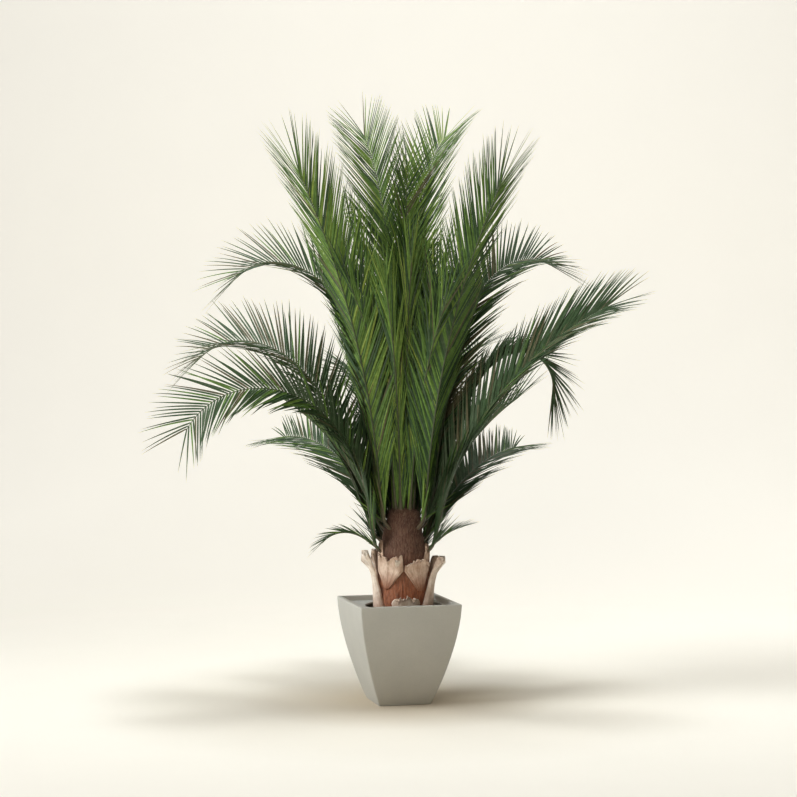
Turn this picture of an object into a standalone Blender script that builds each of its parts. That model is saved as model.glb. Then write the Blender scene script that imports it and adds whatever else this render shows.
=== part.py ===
# A preserved palm standing in a square tapered planter. Metres, +Z up, the underside of the
# planter on the floor at the origin, the planter's sides square to X and Y.
import math
import random

import bmesh
import bpy
from mathutils import Vector
from mathutils.bvhtree import BVHTree

for old in list(bpy.data.objects):
    bpy.data.objects.remove(old, do_unlink=True)

CLEARANCE = 0.0003

palm = bpy.data.collections.new("preserved_palm")
cutters = bpy.data.collections.new("cutters")
bpy.context.scene.collection.children.link(palm)
bpy.context.scene.collection.children.link(cutters)
cutters.hide_render = True


def material(name, colour, roughness):
    made = bpy.data.materials.new(name)
    made.use_nodes = True
    shader = made.node_tree.nodes["Principled BSDF"]
    shader.inputs["Base Color"].default_value = (*colour, 1.0)
    shader.inputs["Roughness"].default_value = roughness
    shader.inputs["Metallic"].default_value = 0.0
    return made


def mesh_object(name, points, faces, look, home, smooth=True):
    mesh = bpy.data.meshes.new(name)
    mesh.from_pydata([tuple(point) for point in points], [], faces)
    mesh.update()
    work = bmesh.new()
    work.from_mesh(mesh)
    bmesh.ops.recalc_face_normals(work, faces=work.faces)
    work.to_mesh(mesh)
    work.free()
    for polygon in mesh.polygons:
        polygon.use_smooth = smooth
    made = bpy.data.objects.new(name, mesh)
    home.objects.link(made)
    if home is cutters:
        made.hide_render = True
        made.display_type = "WIRE"
    else:
        mesh.materials.append(look)
    return made


def cut(target, cutter, solver="EXACT"):
    boolean = target.modifiers.new("cut", "BOOLEAN")
    boolean.operation = "DIFFERENCE"
    boolean.solver = solver
    boolean.object = cutter


def loft(rings, closed_ends=True):
    """Faces that join equal rings of points one after another, with a cap at both ends."""
    count = len(rings[0])
    points = [point for ring in rings for point in ring]
    faces = []
    for level in range(len(rings) - 1):
        for i in range(count):
            j = (i + 1) % count
            a = level * count
            b = a + count
            faces.append((a + i, a + j, b + j, b + i))
    if closed_ends:
        faces.append(tuple(reversed(range(count))))
        faces.append(tuple(range(len(points) - count, len(points))))
    return points, faces


# Planter of cast stone composite: square, narrow at the foot, its sides curving out to the rim.
POT_HEIGHT = 0.393
POT_HALF = 0.200
POT_HALF_BASE = 0.1045
POT_CURVE = 1.6
POT_CORNER = 0.008
POT_WALL = 0.018
POT_FLOOR = 0.030
POT_EDGE = 0.003
POT_LEVELS = 9
CORNER_STEPS = 3
stone = material("cast_stone", (0.50, 0.50, 0.46), 0.75)


def pot_half(height):
    """Half the planter's width at this height."""
    drop = (POT_HEIGHT - height) / POT_HEIGHT
    return POT_HALF - (POT_HALF - POT_HALF_BASE) * drop**POT_CURVE


def square_ring(half, corner, height):
    """A square ring of points with rounded corners, anticlockwise from above."""
    ring = []
    for quarter in range(4):
        middle = math.radians(45 + 90 * quarter)
        cx = math.copysign(half - corner, math.cos(middle))
        cy = math.copysign(half - corner, math.sin(middle))
        for step in range(CORNER_STEPS + 1):
            angle = math.radians(90 * (quarter + step / CORNER_STEPS))
            ring.append((cx + corner * math.cos(angle), cy + corner * math.sin(angle), height))
    return ring


pot_rings = [square_ring(POT_HALF_BASE - POT_EDGE, POT_CORNER - POT_EDGE, 0.0)]
for level in range(POT_LEVELS + 1):
    height = POT_EDGE + (POT_HEIGHT - 2 * POT_EDGE) * level / POT_LEVELS
    pot_rings.append(square_ring(pot_half(height), POT_CORNER, height))
pot_rings.append(square_ring(POT_HALF - POT_EDGE, POT_CORNER - POT_EDGE, POT_HEIGHT))
inner_half = POT_HALF - POT_WALL
pot_rings.append(square_ring(inner_half + POT_EDGE, POT_CORNER - POT_EDGE, POT_HEIGHT))
for level in range(POT_LEVELS, -1, -1):
    height = POT_FLOOR + (POT_HEIGHT - POT_EDGE - POT_FLOOR) * level / POT_LEVELS
    pot_rings.append(square_ring(pot_half(height) - POT_WALL, POT_CORNER, height))
mesh_object("pot", *loft(pot_rings), stone, palm)

# Trunk: a fibrous column, widest among its leaf bases, its rounded top inside the crown.
TRUNK_X = 0.020
TRUNK_SIDES = 24
TRUNK_PROFILE = [
    (0.262, 0.000), (0.262, 0.078), (0.300, 0.086), (0.345, 0.092), (0.400, 0.096),
    (0.470, 0.094), (0.540, 0.095), (0.580, 0.093), (0.620, 0.084), (0.660, 0.074),
    (0.705, 0.067), (0.735, 0.060), (0.750, 0.042), (0.756, 0.000),
]
fibre = material("trunk_fibre", (0.15, 0.09, 0.06), 0.95)


def lathe(name, profile, grown, look, home):
    """A profile of heights and radii turned about the trunk's axis, grown outward all round."""
    points = []
    for i, (height, radius) in enumerate(profile):
        low = profile[max(i - 1, 0)]
        high = profile[min(i + 1, len(profile) - 1)]
        out = Vector((high[0] - low[0], 0.0, low[1] - high[1])).normalized()
        if radius == 0.0:
            out = Vector((0.0, 0.0, -1.0 if i == 0 else 1.0))
        spread = radius + out.x * grown
        points.append((spread if radius > 0 else 0.0, 0.0, height + out.z * grown))
    mesh = bpy.data.meshes.new(name)
    mesh.from_pydata(points, [(i, i + 1) for i in range(len(points) - 1)], [])
    made = bpy.data.objects.new(name, mesh)
    made.location = (TRUNK_X, 0.0, 0.0)
    home.objects.link(made)
    turn = made.modifiers.new("turn", "SCREW")
    turn.axis = "Z"
    turn.steps = TRUNK_SIDES
    turn.render_steps = TRUNK_SIDES
    turn.use_merge_vertices = True
    turn.merge_threshold = 0.0001
    turn.use_normal_calculate = True
    turn.use_smooth_shade = True
    if home is cutters:
        made.hide_render = True
        made.display_type = "WIRE"
    else:
        mesh.materials.append(look)
    return made


def trunk_radius(height):
    """The trunk's radius at this height."""
    for (z0, r0), (z1, r1) in zip(TRUNK_PROFILE[1:], TRUNK_PROFILE[2:]):
        if z0 <= height <= z1 and z1 > z0:
            return r0 + (r1 - r0) * (height - z0) / (z1 - z0)
    return 0.0


trunk = lathe("trunk", TRUNK_PROFILE, 0.0, fibre, palm)
trunk_cutter = lathe("trunk_cutter", TRUNK_PROFILE, CLEARANCE, fibre, cutters)

# Filling of dark foam that grips the trunk's foot, and the grey cover plate that hides it.
FILL_TOP = 0.340
COVER_TOP = 0.374
COVER_THICK = 0.006
COVER_HOLE = 0.150
HOLE_DEPTH = 0.050
FILL_LEVELS = 6
filling = material("planting_foam", (0.03, 0.03, 0.028), 0.95)
cover_grey = material("cover_plate_grey", (0.40, 0.40, 0.37), 0.8)


def inner_block(name, bottom, top, look, levels):
    """A block that fills the planter's inside between two heights, clear of its wall."""
    rings = []
    for level in range(levels + 1):
        height = bottom + (top - bottom) * level / levels
        half = pot_half(height) - POT_WALL - 2 * CLEARANCE
        rings.append(square_ring(half, POT_CORNER, height))
    return mesh_object(name, *loft(rings), look, palm)


fill = inner_block("foam_filling", POT_FLOOR + CLEARANCE, FILL_TOP, filling, FILL_LEVELS)
cut(fill, trunk_cutter)
cover = inner_block("cover_plate", COVER_TOP - COVER_THICK, COVER_TOP, cover_grey, 1)
bpy.ops.mesh.primitive_cylinder_add(
    vertices=2 * TRUNK_SIDES,
    radius=COVER_HOLE,
    depth=HOLE_DEPTH,
    location=(TRUNK_X, 0.0, COVER_TOP),
)
hole_cutter = bpy.context.object
hole_cutter.name = "cover_hole_cutter"
for home in list(hole_cutter.users_collection):
    home.objects.unlink(hole_cutter)
cutters.objects.link(hole_cutter)
hole_cutter.hide_render = True
hole_cutter.display_type = "WIRE"
cut(cover, hole_cutter)

# Boots: the cut leaf bases that clasp the trunk. Each is a curved plate wrapped round the trunk
# from its foot, thick in the middle, leaning out to a cut end.
BOOT_ACROSS = 5
BOOT_FOOT = FILL_TOP + CLEARANCE
BITE = 0.0015
BOOT_LEVELS = 5
LEAN_CURVE = 2.2
FLARE_START = 0.8
EDGE_THIN = 0.25
boot_colour = material("leaf_base", (0.46, 0.32, 0.23), 0.9)
boot_red = material("leaf_base_red", (0.30, 0.13, 0.07), 0.9)
VIEW_TURN = -14.6


def heading(turn):
    """Unit vector across the floor. A turn of 0 points to the right of the usual view."""
    angle = math.radians(turn + VIEW_TURN)
    return Vector((math.cos(angle), math.sin(angle), 0.0))


def boot(name, turn, sway, low, high, lean, wide, thick, flare, look):
    """wide: width at foot, middle and end; thick: thickness at foot and end; lean: end's reach."""
    rings = []
    for level in range(BOOT_LEVELS + 1):
        t = level / BOOT_LEVELS
        height = low + (high - low) * t
        inner = trunk_radius(height) - BITE + lean * t**LEAN_CURVE
        foot_part = wide[0] + (wide[1] - wide[0]) * min(1.0, 2 * t)
        width = foot_part + (wide[2] - wide[1]) * max(0.0, 2 * t - 1)
        spread = max(0.0, t - FLARE_START) / (1 - FLARE_START)
        depth = thick[0] + (thick[1] - thick[0]) * t + flare * spread
        half = math.degrees(0.5 * width / (inner + depth))
        inside = []
        outside = []
        for i in range(BOOT_ACROSS + 1):
            across = 2 * i / BOOT_ACROSS - 1
            edge = EDGE_THIN + (1 - EDGE_THIN) * math.sqrt(max(0.0, 1 - across * across))
            way = heading(turn + sway * t + half * across)
            centre = Vector((TRUNK_X, 0.0, height))
            inside.append(centre + way * inner)
            outside.append(centre + way * (inner + depth * edge))
        rings.append(inside + outside[::-1])
    made = mesh_object(name, *loft(rings), look, palm)
    cut(made, trunk_cutter)
    return made


# name, turn at the foot, turn gained to the end, low, high, lean,
#     (widths), (thicknesses), flare, look
BOOTS = [
    ("boot_left", -150, -20, BOOT_FOOT, 0.586, 0.048,
     (0.084, 0.033, 0.054), (0.030, 0.013), 0.012, boot_red),
    ("boot_right", -30, 20, BOOT_FOOT, 0.562, 0.042,
     (0.078, 0.037, 0.054), (0.028, 0.014), 0.014, boot_colour),
    ("boot_front_low", -90, 0, BOOT_FOOT, 0.417, 0.024,
     (0.092, 0.105, 0.056), (0.016, 0.010), 0.008, boot_colour),
    ("boot_front_left", -117, -15, 0.462, 0.580, 0.010,
     (0.036, 0.110, 0.092), (0.010, 0.010), 0.004, boot_colour),
    ("boot_front_right", -60, -7, 0.452, 0.578, 0.010,
     (0.036, 0.106, 0.094), (0.010, 0.011), 0.004, boot_colour),
    ("boot_back_right", 28, 0, BOOT_FOOT, 0.556, 0.036,
     (0.068, 0.050, 0.046), (0.020, 0.014), 0.012, boot_colour),
    ("boot_back", 72, 0, BOOT_FOOT, 0.590, 0.030,
     (0.066, 0.060, 0.048), (0.018, 0.012), 0.010, boot_red),
    ("boot_back_left", 112, 0, BOOT_FOOT, 0.552, 0.040,
     (0.066, 0.050, 0.046), (0.020, 0.014), 0.012, boot_colour),
    ("boot_left_rear", 152, 0, BOOT_FOOT, 0.584, 0.024,
     (0.060, 0.054, 0.044), (0.016, 0.011), 0.008, boot_colour),
]
boots = [boot(*row) for row in BOOTS]

# Fronds: each a rib that rises from the trunk and arches over, with a row of leaflets down both
# sides. turn is its heading; foot is the height it leaves the trunk; rise and dip are the rib's
# slopes at the foot and the tip; late says how near the tip the arch comes; roll turns the blade
# about the rib; fold lifts both rows of leaflets; sweep is their angle from the rib; leaflet is
# the longest one's length.
LEAF_THICK = 0.0036
RIB_DEEP = 0.013
RIB_DEEP_TIP = 0.0040
RIB_WIDE = 0.0065
RIB_WIDE_TIP = 0.0022
RIB_CROWN = 0.25
RIB_MARGIN = 0.0015
FOOT_BEND = 42.0
FOOT_BEND_LENGTH = 0.035
FOOT_SUNK = 0.012
ON_TOP = 0.72
ON_TOP_SUNK = 0.020
ON_TOP_OUTER = 0.038
ON_TOP_INNER = 0.014
ON_TOP_MIDDLE = 0.74
ROLL_OVER = 4
PITCH = 0.050
FEWEST_STEPS = 8
LEAF_AT_FOOT = 0.60
LEAF_GROWING = 1.6
LEAF_AT_TIP = 0.78
LEAF_SHRINKING = 1.1
SWEEP_AT_FOOT = 0.40
SWEEP_OPENING = 1.7
SWEEP_CLOSING = 7.0
FOLD_CLOSING = 10.0
LEAF_SAG = 0.05
LEAF_SPREAD = (0.92, 1.05)
TOUCH_GAP = 0.0046
TOUCH_REACH = 0.008
TILT_TRIES = [(0, 1.0), (-10, 1.0), (10, 1.0), (-20, 0.9), (20, 0.9), (0, 0.75), (-30, 0.8),
              (30, 0.8), (-15, 0.6), (15, 0.6), (0, 0.5), (0, 0.35)]
green = material("palm_green", (0.07, 0.13, 0.03), 0.55)
deep_green = material("palm_deep_green", (0.03, 0.06, 0.02), 0.55)
bright_green = material("palm_bright_green", (0.16, 0.24, 0.04), 0.55)

# name, turn, foot, rise, dip, late, length, roll, fold, sweep, leaflet, look
FRONDS = [
    ("frond_left_arch", -156, 0.572, 86, -63, 1.62, 1.24, -45, 18, 52, 0.25, deep_green),
    ("frond_left_upper", 165, 0.615, 74, -52, 2.85, 1.24, -34, 26, 50, 0.27, deep_green),
    ("frond_left_high", 176, 0.660, 88, -50, 3.40, 1.39, -34, 24, 48, 0.27, deep_green),
    ("frond_left_tall", -142, 0.668, 88, 60, 0.95, 1.44, 26, 36, 36, 0.34, green),
    ("frond_top_left", 115, 0.735, 88, 48, 2.60, 1.58, -25, 32, 40, 0.31, green),
    ("frond_top_right", 62, 0.735, 88, 30, 4.20, 1.59, 10, 34, 42, 0.31, green),
    ("frond_top_inner", 84, 0.748, 88, 72, 3.00, 1.36, 30, 40, 36, 0.30, green),
    ("frond_right_tall", -38, 0.668, 88, 61, 1.02, 1.39, -26, 36, 36, 0.34, green),
    ("frond_right_high", 30, 0.660, 81, -36, 4.00, 1.38, 34, 26, 48, 0.27, deep_green),
    ("frond_right_arch", -20, 0.572, 84, 25, 0.95, 1.24, 44, 24, 42, 0.29, deep_green),
    ("frond_right_low", 54, 0.572, 62, 4, 0.80, 0.84, 20, 30, 42, 0.23, deep_green),
    ("frond_right_droop", 36, 0.612, 74, -106, 3.40, 1.22, 0, 20, 15, 0.26, deep_green),
    ("frond_left_low", 130, 0.572, 80, -8, 0.85, 0.88, -30, 24, 44, 0.25, deep_green),
    ("frond_left_fill", -168, 0.690, 72, 30, 1.10, 0.66, -20, 34, 38, 0.24, deep_green),
    ("frond_right_fill", -12, 0.694, 72, 34, 1.10, 0.64, 20, 34, 38, 0.24, deep_green),
    ("frond_back_low_right", 80, 0.590, 68, -24, 1.60, 1.14, 0, 34, 44, 0.28, deep_green),
    ("frond_back_low_left", 106, 0.600, 74, -34, 1.80, 1.20, 0, 34, 44, 0.28, deep_green),
    ("frond_back_left", 146, 0.640, 82, 62, 1.70, 1.10, 0, 34, 36, 0.30, deep_green),
    ("frond_back_right", 64, 0.650, 78, 4, 1.60, 1.02, 0, 34, 40, 0.28, deep_green),
    ("frond_back_middle", 92, 0.668, 82, 10, 2.00, 1.30, 0, 34, 40, 0.30, green),
    ("frond_left_middle", 156, 0.705, 84, 68, 1.60, 0.98, 0, 40, 32, 0.32, green),
    ("frond_right_middle", 8, 0.690, 84, 66, 1.60, 0.90, 0, 40, 32, 0.30, deep_green),
    ("frond_front_middle", -106, 0.735, 86, 58, 1.80, 0.92, 20, 44, 13, 0.32, bright_green),
    ("frond_front_right", -52, 0.735, 84, 58, 1.60, 0.88, -30, 46, 18, 0.32, green),
    ("frond_front_left", -136, 0.735, 84, 58, 1.60, 0.94, 30, 46, 18, 0.32, green),
    ("frond_centre_left", 168, 0.735, 86, 72, 2.00, 1.12, 50, 46, 20, 0.32, bright_green),
    ("frond_centre_right", -8, 0.735, 87, 75, 2.00, 0.96, -50, 46, 20, 0.32, bright_green),
    ("frond_centre_back", 89, 0.735, 86, 58, 2.00, 1.14, 50, 44, 28, 0.30, green),
    ("frond_centre_front", -76, 0.748, 88, 74, 2.00, 0.98, -20, 46, 13, 0.32, bright_green),
    ("frond_spray_right", -6, 0.590, 66, 10, 1.00, 0.18, 0, 30, 30, 0.09, deep_green),
    ("frond_spray_left", -176, 0.590, 66, -60, 1.10, 0.27, 0, 30, 24, 0.09, deep_green),
]


def rib_frames(turn, foot, rise, dip, late, length, roll, steps):
    """Points down the rib with its direction, its sideways and its upper-face vector."""
    on_top = foot > ON_TOP
    if on_top:
        start = ON_TOP_OUTER if foot < ON_TOP_MIDDLE else ON_TOP_INNER
        foot -= ON_TOP_SUNK
    else:
        start = trunk_radius(foot) - FOOT_SUNK
    out = heading(turn)
    place = Vector((TRUNK_X, 0.0, foot)) + out * start
    side = Vector((-out.y, out.x, 0.0))
    frames = []
    for i in range(steps + 1):
        s = i / steps
        bend = 0.0 if on_top else FOOT_BEND * math.exp(-s * length / FOOT_BEND_LENGTH)
        slope = math.radians(rise + (dip - rise) * s**late - bend)
        along = out * math.cos(slope) + Vector((0.0, 0.0, math.sin(slope)))
        upper = Vector((0.0, 0.0, math.cos(slope))) - out * math.sin(slope)
        turned = math.radians(roll) * min(1.0, ROLL_OVER * s)
        across = side * math.cos(turned) + upper * math.sin(turned)
        face = upper * math.cos(turned) - side * math.sin(turned)
        frames.append((place.copy(), along, across, face, s))
        place += along * (length / steps)
    return frames


def blade_tree(triangles):
    points = [corner for triangle in triangles for corner in triangle]
    faces = [(3 * i, 3 * i + 1, 3 * i + 2) for i in range(len(triangles))]
    return BVHTree.FromPolygons(points, faces)


def thick_leaf(base0, base1, tip):
    """A prism round a leaflet, wider than it by the gap to keep, which is tested for touching."""
    flat = (base1 - base0).cross(tip - base0).normalized() * TOUCH_GAP
    away = (tip - (base0 + base1) / 2).normalized() * TOUCH_GAP
    wide = (base1 - base0).normalized() * TOUCH_GAP
    start0 = base0 - wide + away * 2
    start1 = base1 + wide + away * 2
    end = tip + away * 2
    points = [start0 + flat, start1 + flat, end + flat, start0 - flat, start1 - flat, end - flat]
    faces = [(0, 1, 2), (3, 5, 4), (0, 3, 4, 1), (1, 4, 5, 2), (2, 5, 3, 0)]
    return BVHTree.FromPolygons(points, faces)


def bounds_of(points, grow):
    low = [min(point[k] for point in points) - grow for k in range(3)]
    high = [max(point[k] for point in points) + grow for k in range(3)]
    return low, high


def apart(a, b):
    return any(a[0][k] > b[1][k] or b[0][k] > a[1][k] for k in range(3))


def solid_tree(obj):
    graph = bpy.context.evaluated_depsgraph_get()
    done = obj.evaluated_get(graph)
    mesh = done.to_mesh()
    world = obj.matrix_world
    points = [world @ vertex.co for vertex in mesh.vertices]
    faces = [tuple(polygon.vertices) for polygon in mesh.polygons]
    done.to_mesh_clear()
    return BVHTree.FromPolygons(points, faces), bounds_of(points, 0.0)


bpy.context.view_layer.update()
obstacles = [solid_tree(obj) for obj in [trunk, bpy.data.objects["pot"], cover, *boots]]


class Frond:
    """The rib of one frond and the leaflets chosen for it, before they are joined to a blade."""

    def __init__(self, row):
        self.name, turn, foot, rise, dip, late, length, roll = row[:8]
        self.fold, self.sweep, self.leaf, self.look = row[8:]
        self.steps = max(FEWEST_STEPS, round(length / PITCH))
        self.frames = rib_frames(turn, foot, rise, dip, late, length, roll, self.steps)
        self.leaves = {}
        self.edges = {-1: [], 1: []}
        self.centres = []
        for place, along, across, face, s in self.frames:
            width = RIB_WIDE + (RIB_WIDE_TIP - RIB_WIDE) * s
            self.centres.append(place)
            for way in (-1, 1):
                edge = place + across * (way * width) + face * (RIB_CROWN * width)
                self.edges[way].append(edge)

    def rib_solid(self):
        rings = []
        for place, along, across, face, s in self.frames:
            width = RIB_WIDE + (RIB_WIDE_TIP - RIB_WIDE) * s + RIB_MARGIN
            deep = rib_depth(s) / 2 + RIB_MARGIN
            rings.append([place - across * width, place - face * deep,
                          place + across * width, place + face * deep])
        points, faces = loft(rings)
        return BVHTree.FromPolygons(points, faces), bounds_of(points, 0.0)


def rib_depth(s):
    return RIB_DEEP + (RIB_DEEP_TIP - RIB_DEEP) * s


fronds = [Frond(row) for row in FRONDS]
ribs = [frond.rib_solid() for frond in fronds]
for i, (tree, box) in enumerate(ribs):
    for j in range(i):
        if not apart(box, ribs[j][1]) and tree.overlap(ribs[j][0]):
            print("ribs touch", fronds[i].name, fronds[j].name)

grown = []
kept_leaves = 0
skipped = 0
for number, frond in enumerate(fronds):
    dice = random.Random(number)
    mine = []
    others = [entry for k, entry in enumerate(ribs) if k != number] + obstacles
    for i in range(1, frond.steps):
        place, along, across, face, s = frond.frames[i]
        part = (i - 1) / (frond.steps - 2)
        near_foot = LEAF_AT_FOOT + LEAF_GROWING * part
        near_tip = LEAF_AT_TIP + LEAF_SHRINKING * (1 - part)
        size = frond.leaf * min(near_foot, 1.0, near_tip)
        opened = min(1.0, SWEEP_AT_FOOT + SWEEP_OPENING * part)
        sweep = math.radians(frond.sweep - SWEEP_CLOSING * part) * opened
        fold = frond.fold - FOLD_CLOSING * part
        for way in (-1, 1):
            base0 = frond.edges[way][i]
            base1 = frond.edges[way][i + 1]
            middle = (base0 + base1) / 2
            for tilt, short in TILT_TRIES:
                lifted = math.radians(fold + tilt)
                out = across * (way * math.cos(lifted)) + face * math.sin(lifted)
                reach = size * short * dice.uniform(*LEAF_SPREAD)
                tip = middle + (along * math.cos(sweep) + out * math.sin(sweep)) * reach
                tip.z -= LEAF_SAG * reach
                box = bounds_of((base0, base1, tip), TOUCH_REACH)
                near = [entry for entry in others + grown if not apart(box, entry[1])]
                probe = thick_leaf(base0, base1, tip) if near else None
                if not any(probe.overlap(tree) for tree, _ in near):
                    frond.leaves[(i, way)] = tip
                    mine.append((base0, base1, tip))
                    break
            else:
                skipped += 1
    kept_leaves += len(mine)
    if mine:
        grown.append((blade_tree(mine), bounds_of([p for leaf in mine for p in leaf], 0.0)))


def build_frond(frond):
    """Joins rib and leaflets to one sheet and gives it thickness, deepest along the rib."""
    points = list(frond.centres)
    weights = [rib_depth(s) / RIB_DEEP for *_, s in frond.frames]
    count = len(points)
    faces = []
    thin = LEAF_THICK / RIB_DEEP
    for way in (-1, 1):
        offset = len(points)
        points += frond.edges[way]
        weights += [thin] * count
        for i in range(frond.steps):
            strip = (i, i + 1, offset + i + 1, offset + i)
            faces.append(strip if way > 0 else strip[::-1])
            if (i, way) in frond.leaves:
                points.append(frond.leaves[(i, way)])
                weights.append(thin)
                blade = (offset + i, offset + i + 1, len(points) - 1)
                faces.append(blade if way > 0 else blade[::-1])
    made = mesh_object(frond.name, points, faces, frond.look, palm, smooth=False)
    group = made.vertex_groups.new(name="depth")
    for index, weight in enumerate(weights):
        group.add([index], weight, "REPLACE")
    thicken = made.modifiers.new("thicken", "SOLIDIFY")
    thicken.thickness = RIB_DEEP
    thicken.offset = 0.0
    thicken.vertex_group = "depth"
    thicken.use_quality_normals = True
    cut(made, trunk_cutter)
    return made


for frond in fronds:
    build_frond(frond)
print("leaflets kept", kept_leaves, "skipped", skipped)
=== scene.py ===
import math
import random

import bmesh
import bpy
import numpy as np
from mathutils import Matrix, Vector


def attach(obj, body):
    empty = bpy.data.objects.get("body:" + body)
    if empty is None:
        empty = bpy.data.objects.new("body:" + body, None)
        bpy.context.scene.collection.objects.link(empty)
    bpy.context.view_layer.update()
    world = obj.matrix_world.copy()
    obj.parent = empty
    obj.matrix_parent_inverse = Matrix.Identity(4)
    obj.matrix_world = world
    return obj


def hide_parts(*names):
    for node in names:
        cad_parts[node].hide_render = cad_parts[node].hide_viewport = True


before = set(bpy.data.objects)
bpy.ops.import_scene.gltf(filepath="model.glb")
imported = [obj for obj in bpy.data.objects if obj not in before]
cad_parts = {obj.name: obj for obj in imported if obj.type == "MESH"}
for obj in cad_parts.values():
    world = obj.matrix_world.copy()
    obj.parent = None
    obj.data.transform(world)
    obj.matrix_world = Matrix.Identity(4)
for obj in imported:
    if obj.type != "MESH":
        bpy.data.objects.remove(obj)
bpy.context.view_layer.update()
scene = bpy.context.scene

# Viewpoint. The palm is seen from a little above the rim of its planter, from well back with a
# long lens, and turned so that the planter shows its front and a strip of its left side.
VIEW_TURN = -14.6
VIEW_BACK = 7.76
VIEW_HEIGHT = 1.34
VIEW_TILT = 1.2
VIEW_LENS = 90.3
VIEW_FILM = 36.0
VIEW_FARTHEST = 100.0
turn = math.radians(VIEW_TURN)
tilt = math.radians(VIEW_TILT)
view_data = bpy.data.cameras.new("viewpoint")
view_data.lens = VIEW_LENS
view_data.sensor_width = VIEW_FILM
view_data.clip_end = VIEW_FARTHEST
viewpoint = bpy.data.objects.new("viewpoint", view_data)
scene.collection.objects.link(viewpoint)
viewpoint.location = (VIEW_BACK * math.sin(turn), -VIEW_BACK * math.cos(turn), VIEW_HEIGHT)
viewpoint.rotation_euler = (math.radians(90) - tilt, 0.0, turn)
scene.camera = viewpoint

# Planter. Square and tapered, its sides curving out to a flat rim, cast in one piece from stone
# powder and resin, with a fine grain and faint clouding in the grey.
POT_HEIGHT = 0.393
POT_HALF = 0.200
POT_HALF_BASE = 0.1045
POT_CURVE = 1.6
POT_CORNER = 0.008
POT_WALL = 0.018
POT_FLOOR = 0.030
POT_EDGE = 0.003
POT_EDGE_STEPS = 3
POT_EDGE_AT_CORNER = 0.6
POT_LEVELS = 36
CORNER_STEPS = 6
GRAIN_SHARE = 0.4
ALL = 1.0


def new_material(name, roughness):
    """A material, its node tree and its shader."""
    made = bpy.data.materials.new(name)
    made.use_nodes = True
    shader = made.node_tree.nodes["Principled BSDF"]
    shader.inputs["Roughness"].default_value = roughness
    return made, made.node_tree, shader


def add(tree, kind, inputs=None, **settings):
    """A node in this tree, with its settings, and its inputs set to values or joined to sockets."""
    made = tree.nodes.new(kind)
    for key, value in settings.items():
        setattr(made, key, value)
    for key, value in (inputs or {}).items():
        socket = made.inputs[key]
        if isinstance(value, bpy.types.NodeSocket):
            tree.links.new(value, socket)
        else:
            socket.default_value = value
    return made


def noise(tree, place, scale, detail=4.0, rough=0.55, stretch=None):
    """Grain of this scale read at this place, drawn out along an axis where stretch says so."""
    if stretch:
        place = add(tree, "ShaderNodeMapping", {"Vector": place, "Scale": stretch}).outputs[0]
    made = add(tree, "ShaderNodeTexNoise", {"Vector": place, "Scale": scale, "Detail": detail,
                                            "Roughness": rough})
    return made.outputs["Fac"]


def ramp(tree, factor, stops):
    """A run of colours along a factor: stops are (position, colour)."""
    made = add(tree, "ShaderNodeValToRGB", {"Fac": factor})
    band = made.color_ramp
    while len(band.elements) < len(stops):
        band.elements.new(0.5)
    for element, (position, colour) in zip(band.elements, stops):
        element.position = position
        element.color = (*colour, 1.0)
    return made.outputs["Color"]


def mix(tree, factor, first, second, how="MIX"):
    """Two colours mixed by a factor, which is ALL for the second one at full strength."""
    made = tree.nodes.new("ShaderNodeMix")
    made.data_type = "RGBA"
    made.blend_type = how
    for socket, value in ((made.inputs[0], factor), (made.inputs[6], first), (made.inputs[7], second)):
        if isinstance(value, bpy.types.NodeSocket):
            tree.links.new(value, socket)
        else:
            socket.default_value = value if isinstance(value, float) else (*value, 1.0)
    return made.outputs[2]


def relief(tree, shader, height, strength, distance):
    """Bump on a shader from a height pattern."""
    bump = add(tree, "ShaderNodeBump", {"Height": height, "Strength": strength, "Distance": distance})
    tree.links.new(bump.outputs[0], shader.inputs["Normal"])


def piece(name, points, faces, look, smooth=True):
    """A mesh piece at the origin, its faces turned outward."""
    mesh = bpy.data.meshes.new(name)
    mesh.from_pydata([tuple(point) for point in points], [], [tuple(face) for face in faces])
    mesh.update()
    work = bmesh.new()
    work.from_mesh(mesh)
    bmesh.ops.recalc_face_normals(work, faces=work.faces)
    work.to_mesh(mesh)
    work.free()
    mesh.polygons.foreach_set("use_smooth", [smooth] * len(mesh.polygons))
    mesh.materials.append(look)
    made = bpy.data.objects.new(name, mesh)
    scene.collection.objects.link(made)
    return made


def loft(rings, capped=True):
    """Points and faces that join equal rings one after another."""
    count = len(rings[0])
    points = [point for ring in rings for point in ring]
    faces = []
    for level in range(len(rings) - 1):
        for i in range(count):
            j = (i + 1) % count
            a = level * count
            faces.append((a + i, a + j, a + count + j, a + count + i))
    if capped:
        faces.append(tuple(reversed(range(count))))
        faces.append(tuple(range(len(points) - count, len(points))))
    return points, faces


def pot_half(height):
    """Half the planter's width at this height."""
    drop = (POT_HEIGHT - height) / POT_HEIGHT
    return POT_HALF - (POT_HALF - POT_HALF_BASE) * drop**POT_CURVE


def square_ring(half, corner, height):
    """A square ring with rounded corners, with points along each side too."""
    ring = []
    for quarter in range(4):
        middle = math.radians(45 + 90 * quarter)
        cx = math.copysign(half - corner, math.cos(middle))
        cy = math.copysign(half - corner, math.sin(middle))
        for step in range(CORNER_STEPS + 1):
            angle = math.radians(90 * (quarter + step / CORNER_STEPS))
            ring.append((cx + corner * math.cos(angle), cy + corner * math.sin(angle), height))
    return ring


def rounded_edge(half, corner, height, inward, upward):
    """Rings that turn an edge of the planter with a small radius."""
    rings = []
    for step in range(POT_EDGE_STEPS + 1):
        angle = math.radians(90 * step / POT_EDGE_STEPS)
        slide = POT_EDGE * (1 - math.cos(angle))
        climb = POT_EDGE * math.sin(angle)
        rings.append(square_ring(half - inward * slide, corner - slide * POT_EDGE_AT_CORNER,
                                 height + upward * climb))
    return rings


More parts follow.
